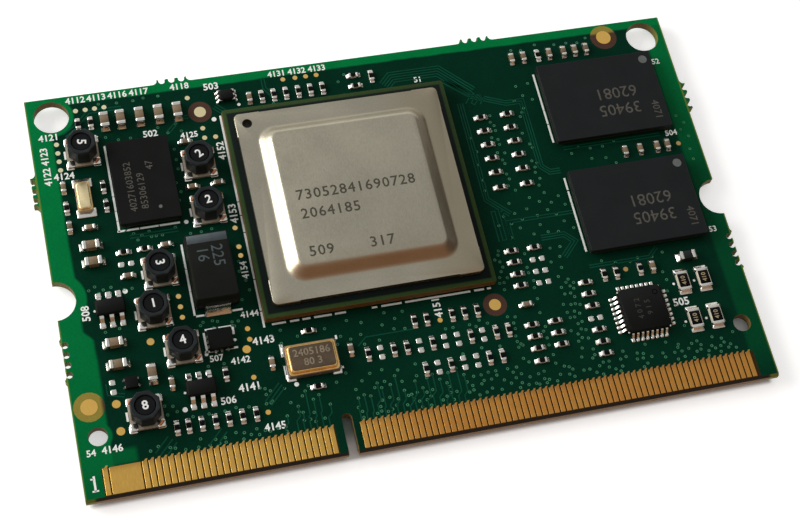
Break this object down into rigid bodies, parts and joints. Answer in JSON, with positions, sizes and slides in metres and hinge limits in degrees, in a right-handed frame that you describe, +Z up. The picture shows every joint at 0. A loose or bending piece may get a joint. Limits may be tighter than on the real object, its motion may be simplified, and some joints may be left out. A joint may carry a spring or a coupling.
{
  "type": "system on module",
  "caption": "Green circuit board with an edge connector, a lidded processor, memory, power inductors and chip parts soldered to it.",
  "frame": {"origin": "on the surface that the module lies on, below the middle of its box", "axes": "+X along the contact edge, from the end with the power inductors to the end with the memory; +Y from the contact edge to the far edge; +Z up, out of the face with the processor"},
  "size_m": [0.0688, 0.0426, 0.0045],
  "materials": {
    "solder_mask": "satin",
    "gold_contact": "polished",
    "silkscreen": "matte",
    "bare_laminate": "matte",
    "package_laminate": "satin",
    "lid_nickel": "satin",
    "silicon": "polished",
    "moulding": "matte",
    "ferrite": "matte",
    "copper": "polished",
    "solder_tin": "satin",
    "ceramic_base": "satin",
    "can_lid": "satin",
    "capacitor_ceramic": "satin",
    "resistor_glass": "satin"
  },
  "bodies": {
    "root": {"chip_bead": "ferrite", "circuit_board": "solder_mask", "clock_crystal_base": "ceramic_base", "clock_crystal_lid": "can_lid", "far_capacitor_1": "capacitor_ceramic", "far_capacitor_2": "capacitor_ceramic", "far_capacitor_3": "capacitor_ceramic", "far_capacitor_4": "capacitor_ceramic", "far_capacitor_5": "capacitor_ceramic", "inductor_base_1": "ceramic_base", "inductor_base_2": "ceramic_base", "inductor_base_3": "ceramic_base", "inductor_base_4": "ceramic_base", "inductor_base_5": "ceramic_base", "inductor_base_6": "ceramic_base", "inductor_base_7": "ceramic_base", "inductor_core_1": "ferrite", "inductor_core_2": "ferrite", "inductor_core_3": "ferrite", "inductor_core_4": "ferrite", "inductor_core_5": "ferrite", "inductor_core_6": "ferrite", "inductor_core_7": "ferrite", "inductor_shield_1": "ferrite", "inductor_shield_2": "ferrite", "inductor_shield_3": "ferrite", "inductor_shield_4": "ferrite", "inductor_shield_5": "ferrite", "inductor_shield_6": "ferrite", "inductor_shield_7": "ferrite", "inductor_winding_1": "copper", "inductor_winding_2": "copper", "inductor_winding_3": "copper", "inductor_winding_4": "copper", "inductor_winding_5": "copper", "inductor_winding_6": "copper", "inductor_winding_7": "copper", "large_resistor_1": "resistor_glass", "large_resistor_2": "resistor_glass", "large_resistor_3": "resistor_glass", "large_resistor_4": "resistor_glass", "leadless_chip": "moulding", "memory_1_moulding": "moulding", "memory_1_substrate": "package_laminate", "memory_2_moulding": "moulding", "memory_2_substrate": "package_laminate", "oscillator_base": "ceramic_base", "oscillator_lid": "can_lid", "power_chip_moulding": "moulding", "power_chip_substrate": "package_laminate", "processor_die": "silicon", "processor_lid": "lid_nickel", "processor_substrate": "package_laminate", "quad_chip": "moulding", "six_lead_chip_1": "moulding", "six_lead_chip_2": "moulding", "small_six_lead_chip": "moulding", "tantalum_body": "moulding", "tantalum_terminal_far": "solder_tin", "tantalum_terminal_near": "solder_tin"}
  },
  "joints": []
}
